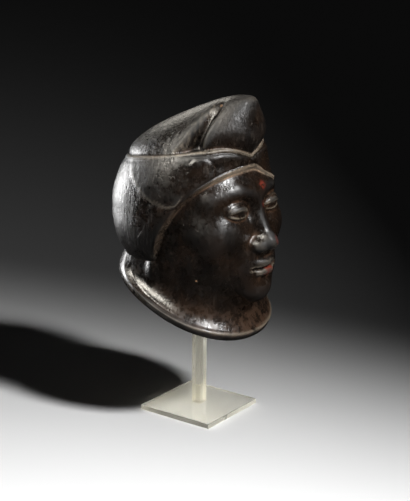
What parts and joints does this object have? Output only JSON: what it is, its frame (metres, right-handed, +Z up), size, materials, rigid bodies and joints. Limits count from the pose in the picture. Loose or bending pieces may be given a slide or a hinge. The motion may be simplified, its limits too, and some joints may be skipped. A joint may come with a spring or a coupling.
{
  "type": "helmet mask",
  "caption": "Hollow carved wooden helmet mask with a calm face, a wrapped headdress and a flared rim, resting on a clear rod with a square foot.",
  "frame": {"origin": "centre of the base plate's underside, on the surface that it stands on", "axes": "+Z up; the mask faces -Y; +X is to the right of a viewer who looks at the face along +Y"},
  "size_m": [0.1818, 0.2077, 0.3855],
  "materials": {
    "carved_wood": "dark glossy patina, rubbed to brown on the edges, with pale dust in the recesses",
    "clear_acrylic": "clear polished acrylic, faintly cream at the cut edges"
  },
  "bodies": {
    "root": {"mask": "carved_wood", "rod": "clear_acrylic", "base_plate": "clear_acrylic"}
  },
  "joints": []
}
